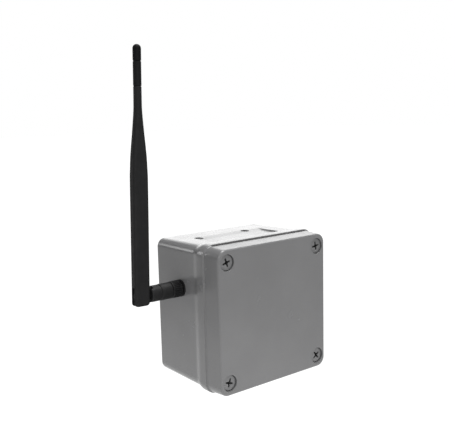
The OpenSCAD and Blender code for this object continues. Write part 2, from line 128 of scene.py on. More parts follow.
def make_camera():
    azimuth, elevation, roll = (math.radians(a) for a in (-38.274, 8.740, -1.424))
    back = Vector((math.sin(azimuth) * math.cos(elevation),
                   -math.cos(azimuth) * math.cos(elevation), math.sin(elevation)))
    right = Vector((math.cos(azimuth), math.sin(azimuth), 0))
    up = back.cross(right)
    if up.z < 0:
        up = -up
    data = bpy.data.cameras.new("camera")
    data.lens = 54.99
    data.sensor_width = 36
    data.clip_start, data.clip_end = 0.01, 50
    camera = bpy.data.objects.new("camera", data)
    bpy.context.scene.collection.objects.link(camera)
    across = right * math.cos(roll) + up * math.sin(roll)
    upward = -right * math.sin(roll) + up * math.cos(roll)
    place = Vector((0, FRONT_Y * MM, 0)) + back * 0.5712 - right * 0.03734 + up * 0.0750
    turn = Matrix((across, upward, back)).transposed()
    camera.matrix_world = Matrix.Translation(place) @ turn.to_4x4()
    bpy.context.scene.camera = camera


make_camera()

# ---- Mesh helpers; sizes in millimetres ----


def from_mesh(name, mesh):
    obj = bpy.data.objects.new(name, mesh)
    bpy.context.scene.collection.objects.link(obj)
    return obj


def solid(name, points, faces, place=Matrix()):
    mesh = bpy.data.meshes.new(name)
    mesh.from_pydata([(place @ Vector(p)) * MM for p in points], [], faces)
    bm = bmesh.new()
    bm.from_mesh(mesh)
    bmesh.ops.recalc_face_normals(bm, faces=bm.faces)
    bm.to_mesh(mesh)
    bm.free()
    return from_mesh(name, mesh)


def loft(name, rings, place=Matrix(), tube=False):
    """Skin over rings of equally many points; a tube's last ring meets its first."""
    count = len(rings[0])
    points = [p for ring in rings for p in ring]
    pairs = [(i, i + 1) for i in range(len(rings) - 1)]
    if tube:
        pairs.append((len(rings) - 1, 0))
    faces = [(a * count + k, a * count + (k + 1) % count,
              b * count + (k + 1) % count, b * count + k)
             for a, b in pairs for k in range(count)]
    if not tube:
        faces.append(tuple(range(count))[::-1])
        faces.append(tuple((len(rings) - 1) * count + k for k in range(count)))
    return solid(name, points, faces, place)


def lathe(name, profile, place=Matrix(), sides=96, tube=False, ripple=None):
    """Turned body about local Z from (radius, height) pairs; ripple may change a radius."""
    rings = []
    for r, h in profile:
        ring = []
        for k in range(sides):
            a = math.tau * k / sides
            rr = ripple(r, h, a) if ripple else r
            ring.append((rr * math.cos(a), rr * math.sin(a), h))
        rings.append(ring)
    return loft(name, rings, place, tube)


def corner(cx, cz, r, start, steps):
    return [(cx + r * math.cos(math.radians(start + 90 * i / steps)),
             cz + r * math.sin(math.radians(start + 90 * i / steps))) for i in range(steps + 1)]


def rounded(w, h, r, steps=10):
    """Outline of a rounded rectangle from its half sizes."""
    points = []
    for sx, sz, start in ((1, 1, 0), (-1, 1, 90), (-1, -1, 180), (1, -1, 270)):
        points += corner(sx * (w - r), sz * (h - r), r, start, steps)
    return points


def cavity(grow, steps=6):
    """Outline of the inside of the box: a wide middle and a tall middle."""
    r = INNER_R + grow
    quarter = (corner(WIDE_X + grow - r, WIDE_Z + grow - r, r, 0, steps)
               + [(TALL_X + grow, WIDE_Z + grow)]
               + corner(TALL_X + grow - r, TALL_Z + grow - r, r, 0, steps))
    turned = quarter[::-1]
    return (quarter + [(-x, z) for x, z in turned] + [(-x, -z) for x, z in quarter]
            + [(x, -z) for x, z in turned])


def at_depth(outline, y):
    return [(x, y, z) for x, z in outline]


def at_height(outline, z):
    return [(x, y, z) for x, y in outline]


def box_ring(inset, y):
    return at_depth(rounded(HALF_W - inset, HALF_H - inset, CORNER - inset, 12), y)


def rod_y(x, z, r, y_low, y_high, sides=48, chamfer=0):
    rings = [(r + chamfer, y_low), (r, y_low + abs(chamfer)), (r, y_high)]
    if not chamfer:
        rings = [(r, y_low), (r, y_high)]
    turn = Matrix.Translation((x, 0, z)) @ Matrix.Rotation(math.radians(-90), 4, "X")
    return lathe("rod", rings, turn, sides)


def rod_z(r, h_low, h_high, place, sides=48):
    return lathe("rod", [(r, h_low), (r, h_high)], place, sides)


def block(low_corner, high_corner, place=Matrix()):
    (x0, y0, z0), (x1, y1, z1) = low_corner, high_corner
    return loft("block", [[(x0, y0, z), (x1, y0, z), (x1, y1, z), (x0, y1, z)]
                          for z in (z0, z1)], place)


def settle(obj):
    """Applies an object's modifiers to its mesh."""
    graph = bpy.context.evaluated_depsgraph_get()
    mesh = bpy.data.meshes.new_from_object(obj.evaluated_get(graph))
    obj.modifiers.clear()
    obj.data = mesh


def combine(obj, others, operation):
    for other in others:
        cut = obj.modifiers.new("cut", "BOOLEAN")
        cut.object, cut.operation, cut.solver = other, operation, "EXACT"
    settle(obj)
    for other in others:
        bpy.data.objects.remove(other)
    return obj


def carve(obj, *others):
    return combine(obj, others, "DIFFERENCE")


def add(obj, *others):
    return combine(obj, others, "UNION")


def join(name, objects):
    bm = bmesh.new()
    for obj in objects:
        bm.from_mesh(obj.data)
        bpy.data.objects.remove(obj)
    mesh = bpy.data.meshes.new(name)
    bm.to_mesh(mesh)
    bm.free()
    return from_mesh(name, mesh)


def shade(obj, angle=32, bevel=0.0):
    """Smooth shading with sharp edges kept, and bevelled edges where bevel is given."""
    if bevel:
        edge = obj.modifiers.new("edges", "BEVEL")
        edge.width, edge.segments = bevel * MM, 2
        edge.limit_method, edge.angle_limit = "ANGLE", math.radians(40)
    for face in obj.data.polygons:
        face.use_smooth = True
    obj.data.set_sharp_from_angle(angle=math.radians(angle))
    normals = obj.modifiers.new("normals", "WEIGHTED_NORMAL")
    normals.keep_sharp = True


def put(obj, name, body, slot, material, *nodes, angle=32, bevel=0.0):
    """Names a piece, finishes it and fixes it to its body."""
    obj.name = name
    obj.data.materials.clear()
    obj.data.materials.append(material)
    shade(obj, angle, bevel)
    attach(obj, body)
    if nodes:
        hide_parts(*nodes)
    return obj


# ---- Materials ----


class Nodes:
    """Short names for building a material's node tree."""

    def __init__(self, name):
        self.material = bpy.data.materials.new(name)
        self.material.use_nodes = True
        self.tree = self.material.node_tree
        self.shader = self.tree.nodes["Principled BSDF"]
        self.coords = self.new("ShaderNodeTexCoord").outputs["Object"]

    def new(self, kind, **settings):
        node = self.tree.nodes.new(kind)
        for key, value in settings.items():
            setattr(node, key, value)
        return node

    def link(self, source, target):
        self.tree.links.new(source, target)

    def stretched(self, scale):
        node = self.new("ShaderNodeMapping")
        node.inputs["Scale"].default_value = scale
        self.link(self.coords, node.inputs["Vector"])
        return node.outputs["Vector"]

    def noise(self, scale, detail=4.0, roughness=0.5, stretch=None):
        node = self.new("ShaderNodeTexNoise")
        node.inputs["Scale"].default_value = scale
        node.inputs["Detail"].default_value = detail
        node.inputs["Roughness"].default_value = roughness
        self.link(self.stretched(stretch) if stretch else self.coords, node.inputs["Vector"])
        return node.outputs["Fac"]

    def spread(self, value, from_low, from_high, to_low, to_high):
        node = self.new("ShaderNodeMapRange")
        for key, number in (("From Min", from_low), ("From Max", from_high),
                            ("To Min", to_low), ("To Max", to_high)):
            node.inputs[key].default_value = number
        self.link(value, node.inputs["Value"])
        return node.outputs["Result"]

    def mix(self, factor, first, second):
        node = self.new("ShaderNodeMix", data_type="RGBA")
        self.link(factor, node.inputs[0])
        for slot, colour in ((6, first), (7, second)):
            if isinstance(colour, tuple):
                node.inputs[slot].default_value = (*colour, 1)
            else:
                self.link(colour, node.inputs[slot])
        return node.outputs[2]

    def edges(self, radius, sharpness):
        """1 along edges, 0 on flat faces; these are the edges lightened as rubbed paint and painted
        highlight.
        """
        bevel = self.new("ShaderNodeBevel", samples=4)
        bevel.inputs["Radius"].default_value = radius
        dot = self.new("ShaderNodeVectorMath", operation="DOT_PRODUCT")
        self.link(bevel.outputs["Normal"], dot.inputs[0])
        self.link(self.new("ShaderNodeNewGeometry").outputs["Normal"], dot.inputs[1])
        return self.spread(dot.outputs["Value"], 1.0, 1.0 - sharpness, 0.0, 1.0)

    def bump(self, height, strength, distance, below=None):
        node = self.new("ShaderNodeBump")
        node.inputs["Strength"].default_value = strength
        node.inputs["Distance"].default_value = distance
        self.link(height, node.inputs["Height"])
        if below is not None:
            self.link(below, node.inputs["Normal"])
        return node.outputs["Normal"]


def tint(colour, factor):
    return tuple(min(1.0, c * factor) for c in colour)


def surface(name, colour, rough, metal=0.0, specular=0.5, mottle=(45, 0.12), grain=(1400, 0.25, 0.03),
            waves=None, edge_wear_and_highlight=None, stretch=None, spread=0.08, recess_shade=False):
    """A moulded, painted or metal finish.

    mottle is the scale and depth of slow colour changes, grain the scale, strength and
    height in millimetres of the fine bump, waves the same for a slower bump, and
    edge_wear_and_highlight the colour, the edge radius in millimetres and the strength of
    lightened edges: rubbed edges, and on the powder coat also a painted highlight along the
    edges; recess_shade paints near-black shade on what lies below the face of a lid screw."""
    n = Nodes(name)
    shader = n.shader
    shader.inputs["Metallic"].default_value = metal
    shader.inputs["Specular IOR Level"].default_value = specular
    slow = n.noise(mottle[0], 5.0, 0.6)
    base = n.mix(n.spread(slow, 0.3, 0.7, 0.0, 1.0), tint(colour, 1 - mottle[1]),
                 tint(colour, 1 + mottle[1]))
    fine = n.noise(grain[0], 3.0, 0.55, stretch)
    speck = n.mix(n.spread(fine, 0.35, 0.7, 0.0, 0.25), base, tint(colour, 0.7))
    # Lighter edges: rubbed edges, and on the powder coat also a painted highlight along the edges.
    if edge_wear_and_highlight:
        patchy = n.new("ShaderNodeMath", operation="MULTIPLY")
        n.link(n.edges(edge_wear_and_highlight[1] * MM, 0.35), patchy.inputs[0])
        n.link(n.spread(n.noise(260, 6.0, 0.7), 0.38, 0.68, 0.0, edge_wear_and_highlight[2]), patchy.inputs[1])
        speck = n.mix(patchy.outputs[0], speck, edge_wear_and_highlight[0])
    # Painted shade: below the face of a lid screw, in its cross recess, the colour turns near black.
    if recess_shade:
        split = n.new("ShaderNodeSeparateXYZ")
        n.link(n.coords, split.inputs[0])
        top = SEAT_Y - HEAD_H
        recess_shade_mask = n.spread(split.outputs["Y"], (top + 0.25) * MM, (top + 1.0) * MM, 0.0, 1.0)
        speck = n.mix(recess_shade_mask, speck, (0.006, 0.006, 0.006))
    n.link(speck, shader.inputs["Base Color"])
    patches = n.noise(mottle[0] * 3.1, 4.0, 0.6)
    n.link(n.spread(patches, 0.3, 0.7, rough - spread, rough + spread), shader.inputs["Roughness"])
    below = None
    if waves:
        below = n.bump(n.noise(waves[0], 2.0, 0.5), waves[1], waves[2] * MM)
    n.link(n.bump(fine, grain[1], grain[2] * MM, below), shader.inputs["Normal"])
    return n.material


def board_finish(name, colour):
    """Solder resist over copper tracks, with plated pads."""
    n = Nodes(name)
    shader = n.shader
    shader.inputs["Specular IOR Level"].default_value = 0.5
    cells = n.new("ShaderNodeTexVoronoi", distance="MANHATTAN", feature="F1")
    cells.inputs["Scale"].default_value = 260
    cells.inputs["Randomness"].default_value = 0.35
    n.link(n.coords, cells.inputs["Vector"])
    tracks = n.new("ShaderNodeTexBrick", offset=0.37, squash=0.6, squash_frequency=3)
    for key, value in (("Scale", 90), ("Mortar Size", 0.035), ("Mortar Smooth", 0.2),
                       ("Brick Width", 0.9), ("Row Height", 0.16)):
        tracks.inputs[key].default_value = value
    turn = n.new("ShaderNodeMapping")
    turn.inputs["Rotation"].default_value = (math.radians(90), 0, 0)
    n.link(n.coords, turn.inputs["Vector"])
    n.link(turn.outputs["Vector"], tracks.inputs["Vector"])
    lines = n.mix(tracks.outputs["Fac"], colour, tint(colour, 2.1))
    pads = n.spread(cells.outputs["Distance"], 0.16, 0.12, 0.0, 1.0)
    gate = n.new("ShaderNodeMath", operation="MULTIPLY")
    n.link(pads, gate.inputs[0])
    n.link(n.spread(n.noise(60, 2.0), 0.5, 0.56, 0.0, 1.0), gate.inputs[1])
    n.link(n.mix(gate.outputs[0], lines, (0.55, 0.5, 0.36)), shader.inputs["Base Color"])
    n.link(n.spread(n.noise(300, 3.0), 0.3, 0.7, 0.28, 0.45), shader.inputs["Roughness"])
    n.link(n.bump(tracks.outputs["Fac"], 0.3, 0.04 * MM), shader.inputs["Normal"])
    return n.material


GREY = (0.165, 0.165, 0.167)
BLACK = (0.0125, 0.0125, 0.0129)

# The powder coat's lighter edges are rubbed paint and also a painted highlight on the box's rounded
# edges.
PAINT = surface("powder_coat", GREY, 0.24, mottle=(16, 0.07), grain=(1500, 0.22, 0.03), spread=0.04,
                waves=(420, 0.10, 0.03), edge_wear_and_highlight=((0.26, 0.26, 0.26), 0.7, 0.55))
PLASTIC = surface("black_plastic", BLACK, 0.55, specular=0.17, mottle=(70, 0.22),
                  grain=(2300, 0.3, 0.02), waves=(260, 0.12, 0.05),
                  edge_wear_and_highlight=((0.03, 0.03, 0.031), 0.5, 0.7))
CAP_PLASTIC = surface("tip_plastic", (0.005, 0.005, 0.0053), 0.5, specular=0.1,
                      mottle=(70, 0.2), grain=(2300, 0.3, 0.02))
# Painted shade: the sleeve is the antenna's black plastic made darker than the blade's.
SHADED_SLEEVE_PLASTIC = surface("shaded_sleeve_plastic", (0.0075, 0.0075, 0.0078), 0.52, specular=0.12,
                         mottle=(70, 0.2), grain=(2300, 0.3, 0.02))
NUT_BLACK = surface("black_plating", (0.008, 0.008, 0.0085), 0.45, specular=0.22,
                    mottle=(90, 0.25), grain=(1800, 0.3, 0.02),
                    edge_wear_and_highlight=((0.06, 0.055, 0.05), 0.3, 0.8))
# The lid screws get painted shade: near black inside the cross recess below the head's face.
SCREW_STEEL = surface("dull_screw_steel", (0.165, 0.165, 0.167), 0.42, metal=0.1, recess_shade=True,
                      mottle=(180, 0.15), grain=(2400, 0.35, 0.02),
                      edge_wear_and_highlight=((0.3, 0.3, 0.3), 0.3, 0.6))
GLAND_GREY = surface("grey_polyamide", (0.15, 0.15, 0.153), 0.5, specular=0.4,
                     mottle=(60, 0.1), grain=(2000, 0.3, 0.02), waves=(300, 0.1, 0.04),
                     edge_wear_and_highlight=((0.22, 0.22, 0.22), 0.5, 0.5))
RUBBER = surface("black_rubber", (0.018, 0.018, 0.018), 0.75, specular=0.25, mottle=(90, 0.25),
                 grain=(1700, 0.5, 0.04))
ZINC = surface("zinc_plate", (0.5, 0.51, 0.52), 0.34, metal=1.0, mottle=(120, 0.12),
               grain=(900, 0.25, 0.015), edge_wear_and_highlight=((0.7, 0.7, 0.7), 0.3, 0.6))
TIN = surface("tinned_sheet", (0.62, 0.62, 0.61), 0.26, metal=1.0, mottle=(150, 0.08),
              grain=(1300, 0.15, 0.01), stretch=(1, 1, 0.12))
BRASS = surface("turned_brass", (0.62, 0.44, 0.18), 0.3, metal=1.0, mottle=(140, 0.15),
                grain=(1600, 0.3, 0.01), stretch=(8, 1, 1))
NICKEL = surface("nickel_plate", (0.52, 0.48, 0.4), 0.28, metal=1.0, mottle=(150, 0.12),
                 grain=(1600, 0.25, 0.01), stretch=(8, 1, 1))
GOLD = surface("gold_plate", (0.78, 0.55, 0.2), 0.24, metal=1.0, mottle=(220, 0.1),
               grain=(2500, 0.15, 0.005))
CHIP = surface("chip_epoxy", (0.02, 0.02, 0.021), 0.55, specular=0.35, mottle=(260, 0.2),
               grain=(3200, 0.4, 0.015))
SINK = surface("black_anodised", (0.03, 0.03, 0.032), 0.38, metal=0.6, mottle=(160, 0.15),
               grain=(1200, 0.3, 0.015), stretch=(1, 1, 0.1), edge_wear_and_highlight=((0.2, 0.2, 0.2), 0.2, 0.5))
IVORY = surface("ivory_nylon", (0.62, 0.56, 0.43), 0.5, mottle=(160, 0.08), grain=(2600, 0.3, 0.01))
TERMINAL = surface("green_polyamide", (0.03, 0.24, 0.08), 0.42, mottle=(160, 0.12),
                   grain=(2600, 0.3, 0.01))
BLUE = surface("blue_sleeve", (0.02, 0.035, 0.15), 0.3, mottle=(120, 0.15), grain=(1800, 0.2, 0.01))
LAMP = surface("lamp_resin", (0.42, 0.66, 0.36), 0.2, mottle=(500, 0.1), grain=(2600, 0.1, 0.005))
PTFE = surface("fluoropolymer", (0.75, 0.75, 0.72), 0.45, mottle=(160, 0.06),
               grain=(2200, 0.3, 0.01))
JACKET = surface("brown_jacket", (0.1, 0.05, 0.024), 0.35, mottle=(200, 0.15),
                 grain=(2400, 0.2, 0.01))
STEEL = surface("pin_steel", (0.45, 0.45, 0.45), 0.25, metal=1.0, mottle=(200, 0.1),
                grain=(2000, 0.2, 0.005))
BOARD = board_finish("solder_resist", (0.012, 0.075, 0.03))
CARD = board_finish("card_resist", (0.01, 0.06, 0.045))

# ---- Box ----


def panel_cutter(side):
    """Shallow panel in the top or the bottom of the base; its floor runs out at the back."""
    front, back = BODY_Y + 0.5, PANEL_BACK
    rings = []
    for z, inset, tail in ((HALF_H - PANEL_DEPTH, 0.9, 14), (HALF_H - 2.6, 0.25, 8), (HALF_H - 2.2, 0, 2),
                           (HALF_H + 3, 0, 0)):
        half = (back - front - tail) / 2 - inset
        outline = rounded(PANEL_X - inset, half, 2.2 - inset, 6)
        rings.append([(x, y + front + inset + half, side * z) for x, y in outline])
    return loft("panel", rings)


def ejector_marks():
    """Two shallow round marks in the upper panel's floor."""
    return [rod_z(3.8, HALF_H - PANEL_DEPTH - depth, HALF_H, Matrix.Translation((x, y, 0)))
            for x, y, depth in ((-32.2, -27, 0.12), (19.5, -25.5, 0.05))]


def wall_recess(place, r, bore, spot):
    """Through bore in a side wall with a flat round seat."""
    return (rod_z(bore, 0, 90, place, 64),
            lathe("seat", [(r, spot), (r, spot + 1.0), (r + 0.5, spot + 8)], place, 64))


def make_base():
    outside = [box_ring(FLANGE_EDGE * (1 - math.sin(math.radians(a))),
                        FLANGE_Y + FLANGE_EDGE * (1 - math.cos(math.radians(a))))
               for a in range(0, 91, 15)]
    outside += [box_ring(0, STEP_Y - 0.6), box_ring(0.06, STEP_Y - 0.2)]
    for i in range(1, 11):
        t = i / 10
        outside.append(box_ring(BODY_INSET * (1 - math.cos(math.pi * t)) / 2 + 0.06 * (1 - t),
                                STEP_Y + (BODY_Y - STEP_Y) * t))
    outside += [box_ring(BODY_INSET + (BACK_INSET - BODY_INSET) * t, BODY_Y * (1 - t) - 1.2 * t)
                for t in (0.33, 0.66, 1)]
    outside += [box_ring(BACK_INSET + 0.12, -0.75), box_ring(BACK_INSET + 0.4, -0.35),
                box_ring(BACK_INSET + 1.0, 0)]
    base = loft("enclosure_base_cast", outside)
    corners = [(sx, sz) for sx in (-1, 1) for sz in (-1, 1)]
    rim = loft("rim", [at_depth(cavity(2.4), SEAM_Y + 0.9), at_depth(cavity(2.7), SEAM_Y + 1.2),
                       at_depth(cavity(2.7), FLANGE_Y + 1)])
    pads = [rod_y(sx * SCREW_POS, sz * SCREW_POS, 5.6, SEAM_Y + 0.2, FLANGE_Y + 1, 48, -0.3)
            for sx, sz in corners]
    add(base, rim, *pads)
    hollow = [at_depth(cavity(-1.5), FLOOR_Y)]
    hollow += [at_depth(cavity(-1.5 * (1 - math.sin(math.radians(a)))),
                        FLOOR_Y - 1.5 * (1 - math.cos(math.radians(a)))) for a in (30, 60, 90)]
    hollow.append(at_depth(cavity(0), FRONT_Y))
    carve(base, loft("hollow", hollow), panel_cutter(1), panel_cutter(-1), *ejector_marks())
    bosses = [rod_y(sx * PLATE_X, sz * PLATE_Z, BOSS_R, BOSS_Y, FLOOR_Y + 1, 48, -0.3)
              for sx, sz in corners]
    add(base, rod_y(0, EARTH_Z, BOSS_R, BOSS_Y, FLOOR_Y + 1, 48, -0.3), *bosses)
    holes = [rod_y(0, EARTH_Z, INSERT_BORE, BOSS_Y - 1, -3)]
    for sx, sz in corners:
        holes += [rod_y(sx * WALL_X, sz * WALL_Z, WALL_BORE, -20, 1),
                  rod_y(sx * WALL_X, sz * WALL_Z, WALL_SEAT, FRONT_Y, BOSS_Y),
                  rod_y(sx * SCREW_POS, sz * SCREW_POS, LID_SCREW_BORE, FRONT_Y, -46),
                  rod_y(sx * PLATE_X, sz * PLATE_Z, INSERT_BORE, BOSS_Y - 1, -3)]
    holes += wall_recess(CONNECTOR, JACK_SEAT, JACK_BORE, SPOT_FACE)
    holes += wall_recess(GLAND, GLAND_SEAT, GLAND_BORE, SPOT_FACE)
    carve(base, *holes)
    put(base, "enclosure_base_cast", "housing", "cast_grey", PAINT, "enclosure_base")


def make_lid():
    rings = [box_ring(LID_STEP + 0.35, SEAM_Y), box_ring(LID_STEP + 0.1, SEAM_Y - 0.12),
             box_ring(LID_STEP, SEAM_Y - 0.35)]
    for a in range(0, 91, 9):
        s, c = math.sin(math.radians(a)), math.cos(math.radians(a))
        rings.append(box_ring(LID_FRONT_INSET + LID_FILLET * (1 - c),
                              FRONT_Y + LID_FILLET * (1 - s)))
    lid = loft("enclosure_lid_cast", rings)
    lip = loft("lip", [box_ring(LID_STEP, SEAM_Y - 0.6), box_ring(LID_STEP, LIP_Y - 0.7),
                       box_ring(LID_STEP - 0.2, LIP_Y - 0.3), box_ring(LID_STEP - 0.5, LIP_Y),
                       box_ring(LID_STEP + LIP_W, LIP_Y), box_ring(LID_STEP + LIP_W, SEAM_Y - 0.6)],
               tube=True)
    carve(lip, block((-OPEN_SEAM_X, SEAM_Y, -HALF_H), (OPEN_SEAM_X, LIP_Y + 1, HALF_H)))
    add(lid, lip)
    inside = [at_depth(cavity(-1.2), FRONT_Y + 3), at_depth(cavity(-0.4), FRONT_Y + 3.4),
              at_depth(cavity(0), FRONT_Y + 4.2), at_depth(cavity(0), SEAM_Y + 1)]
    groove = [at_depth(cavity(2.9), SEAM_Y - 3), at_depth(cavity(2.9), SEAM_Y + 1)]
    cuts = [loft("inside", inside), loft("groove", groove)]
    for sx in (-1, 1):
        for sz in (-1, 1):
            x, z = sx * SCREW_POS, sz * SCREW_POS
            cuts += [rod_y(x, z, HEAD_R + 0.22, FRONT_Y - 1, SEAT_Y, 64),
                     rod_y(x, z, 3.3, FRONT_Y, SEAM_Y + 1), rod_y(x, z, 5.2, SEAM_Y - 2.2, SEAM_Y + 1),
                     lathe("rim", [(HEAD_R + 1.0, -FRONT_Y + 0.5), (HEAD_R + 0.25, -FRONT_Y - 0.25)],
                           Matrix.Translation((x, 0, z)) @ FACING, 64)]
    carve(lid, *cuts)
    put(lid, "enclosure_lid_cast", "lid", "cast_grey", PAINT, "enclosure_lid")


def cross_cutter(place, r, h, depth, width):
    """Tapered cross recess with a pointed middle."""
    wings = []
    for turn in (0, 90):
        spin = place @ Matrix.Rotation(math.radians(turn), 4, "Z")
        wings.append(loft("wing", [
            at_height(rounded(r * 0.6, width * 0.7, width * 0.6, 3), h - depth),
            at_height(rounded(r, width, width * 0.8, 3), h - 0.3),
            at_height(rounded(r + 0.25, width + 0.25, width, 3), h + 0.4)], spin))
    wings.append(lathe("middle", [(0.3, h - depth * 1.25), (r * 0.5, h + 0.2)], place, 32))
    return wings


def pan_screw(place, shank, length, head, height, turn, pitch=0.8):
    """Domed head with a cross recess and a threaded shank, its head along local +Z."""
    crest, root = shank, shank - 0.32 * pitch
    thread = [(root - 0.3, -length), (root, -length + 0.5)]
    steps = int((length - 1.4) / pitch)
    for i in range(steps):
        h = -length + 0.5 + pitch * (i + 0.5)
        thread += [(crest, h - pitch * 0.06), (crest, h + pitch * 0.06), (root, h + pitch * 0.5)]
    dome = [(head - height * 0.4 * (1 - math.cos(math.radians(a))),
             height * (0.72 + 0.22 * math.sin(math.radians(a)))) for a in range(0, 91, 10)]
    dome += [(head * f, height * (1 - 0.06 * (f / 0.77) ** 2)) for f in (0.6, 0.4, 0.2)]
    profile = thread + [(shank, -0.6), (shank, 0), (head - 0.2, 0), (head, 0.2)] + dome
    spin = place @ Matrix.Rotation(math.radians(turn), 4, "Z")
    screw = lathe("screw", profile, spin, 48)
    return carve(screw, *cross_cutter(spin, head * 0.6, height, height * 0.75, head * 0.115))


def make_lid_screws():
    turns = {(-1, -1): -18, (1, -1): 38, (-1, 1): 18, (1, 1): 9}
    screws = []
    for (sx, sz), turn in turns.items():
        place = Matrix.Translation((sx * SCREW_POS, SEAT_Y, sz * SCREW_POS)) @ FACING
        screws.append(pan_screw(place, 3, 30.3, HEAD_R, HEAD_H, turn, 1.0))
    put(join("lid_screws_steel", screws), "lid_screws_steel", "lid", "lid_screw_steel",
        SCREW_STEEL, "lid_screws")


# ---- Antenna ----


def make_nut():
    grooves = 28

    def knurl(r, h, a):
        if r < NUT_R - 0.4:
            return r
        ends = min(h - NUT_NEAR - 0.7, NUT_FAR - 0.7 - h)
        if ends < 0:
            return r
        depth = 0.42 * min(1, ends / 0.4)
        return r - depth * (0.5 + 0.5 * math.cos(grooves * a)) ** 2

    outer = [(NUT_R - 0.7, NUT_NEAR), (NUT_R - 0.25, NUT_NEAR + 0.25), (NUT_R, NUT_NEAR + 0.7)]
    outer += [(NUT_R, NUT_NEAR + 0.7 + (NUT_FAR - NUT_NEAR - 1.4) * i / 14) for i in range(1, 14)]
    outer += [(NUT_R, NUT_FAR - 0.7), (NUT_R - 0.25, NUT_FAR - 0.25), (NUT_R - 0.7, NUT_FAR)]
    inner = [(PLUG_BORE, NUT_FAR), (PLUG_BORE, NUT_FAR - 1.9), (5.6, NUT_FAR - 2.3)]
    inner += [(5.6 + 0.05 * (i % 2), NUT_FAR - 2.6 - 0.5 * i) for i in range(11)]
    inner.append((5.9, NUT_NEAR))
    nut = lathe("antenna_nut_knurled", outer + inner, CONNECTOR, 28 * 8, True, knurl)
    put(nut, "antenna_nut_knurled", "coupling_nut", "nut_black", NUT_BLACK, "antenna_coupling_nut",
        angle=45)


def make_knuckle():
    near, far = KNUCKLE_NEAR, NECK_FAR
    profile = [(COLLAR_R - 0.6, near), (COLLAR_R - 0.15, near + 0.15), (COLLAR_R, near + 0.6),
               (COLLAR_R, COLLAR_FAR - 0.9), (COLLAR_R - 0.12, COLLAR_FAR - 0.4),
               (COLLAR_R - 0.5, COLLAR_FAR - 0.05), (NECK_R - 0.5, COLLAR_FAR + 0.1),
               (NECK_R - 0.5, COLLAR_FAR + 0.5), (NECK_R - 0.1, COLLAR_FAR + 0.75),
               (NECK_R, COLLAR_FAR + 1.2), (NECK_R, far - 1.0), (NECK_R - 0.12, far - 0.5),
               (NECK_R - 0.45, far - 0.12), (NECK_R - 0.9, far)]
    knuckle = lathe("antenna_knuckle_moulded", profile, CONNECTOR, 96)
    fork = BLADE_T / 2 + 0.3
    carve(knuckle, block((-10, -fork, FORK_NEAR), (10, fork, far + 5), CONNECTOR))
    half = TONGUE_T / 2
    across = CONNECTOR @ Matrix.Translation((0, 0, -PIN.x)) @ FACING
    eye = lathe("eye", [(EYE_R - 0.3, -half), (EYE_R, -half + 0.3), (EYE_R, half - 0.3),
                        (EYE_R - 0.3, half)], across, 64)
    root = block((-EYE_R, -half, FORK_NEAR - 1), (EYE_R, half, -PIN.x), CONNECTOR)
    add(knuckle, root)
    add(knuckle, eye)
    carve(knuckle, rod_z(PLUG_BORE, near - 1, 78, CONNECTOR), rod_z(1.4, 60, FORK_NEAR - 2, CONNECTOR),
          rod_z(1.52, -10, 10, across))
    put(knuckle, "antenna_knuckle_moulded", "antenna_knuckle", "antenna_black", PLASTIC,
        "antenna_knuckle")


WIDTHS = ((BLADE_FOOT, 13.6), (19, 13.6), (29, BLADE_W), (89, BLADE_W), (95.7, 13.48), (100.6, 13.02),
          (105.1, 12.72), (109.8, 12.32), (114.4, 11.67), (119.1, 10.96), (123.7, 10.16), (128.2, 9.3),
          (133, 8.5), (137.5, 7.79), (142.1, 7.09), (146.7, 6.59), (151.4, 6.44), (155.6, 6.39),
          (SLEEVE_LOW, 6.35))
DEPTHS = ((BLADE_FOOT, BLADE_T), (93, BLADE_T), (123.5, 7.1), (137.5, 6.75), (146.5, 6.5), (151.5, 6.4),
          (155.5, 6.35), (SLEEVE_LOW, 6.35))


def along(table, h):
    """Smooth value from a table of (height, value) pairs."""
    for i in range(len(table) - 1):
        (h0, v0), (h1, v1) = table[i], table[i + 1]
        if h <= h1:
            t = (h - h0) / (h1 - h0)
            before = table[max(i - 1, 0)]
            after = table[min(i + 2, len(table) - 1)]
            m0 = (v1 - before[1]) / max(h1 - before[0], 1) * (h1 - h0)
            m1 = (after[1] - v0) / max(after[0] - h0, 1) * (h1 - h0)
            t2, t3 = t * t, t * t * t
            return ((2 * t3 - 3 * t2 + 1) * v0 + (t3 - 2 * t2 + t) * m0
                    + (3 * t2 - 2 * t3) * v1 + (t3 - t2) * m1)
    return table[-1][1]


def blade_ring(h, inset=0.0):
    w, t = along(WIDTHS, h) / 2, along(DEPTHS, h) / 2
    share = min(1, max(0, (h - 97) / 52))
    r = 2 + (min(w, t) - 2) * share * share * (3 - 2 * share)
    r = min(r, min(w, t) - 0.002)
    small = 0.25 * inset
    return at_height(rounded(w - inset, t - small, max(r - small, 0.3), 8), h)


def make_blade():
    rings = []
    for a in range(0, 91, 15):
        s, c = math.sin(math.radians(a)), math.cos(math.radians(a))
        rings.append(blade_ring(BLADE_FOOT + FOOT_ROUND * (1 - c), FOOT_ROUND * (1 - s)))
    rings += [blade_ring(h) for h in range(0, 90, 10)]
    rings += [blade_ring(90 + 2 * i) for i in range(34)]
    rings += [blade_ring(h) for h in (SLEEVE_LOW - 4, SLEEVE_LOW - 0.6)]
    for scale, drop in ((0.97, 0.3), (0.9, 0.1), (0.88, 0)):
        rings.append([(x * scale, y * scale, SLEEVE_LOW - drop)
                      for x, y, _ in blade_ring(SLEEVE_LOW - drop)])
    blade = loft("antenna_blade_moulded", rings, ELBOW)
    half = TONGUE_T / 2 + 0.15
    across = ELBOW @ FACING
    carve(blade, block((-BLADE_W, -half, BLADE_FOOT - 1), (BLADE_W, half, SLOT_TOP), ELBOW))
    carve(blade, rod_z(1.56, -3.6, 3.6, across), rod_z(2.5, SLOT_TOP - 1, 136, ELBOW))
    carve(blade, rod_z(1.7, 130, SLEEVE_LOW + 5, ELBOW))
    put(blade, "antenna_blade_moulded", "antenna_mast", "antenna_black", PLASTIC, "antenna_blade")


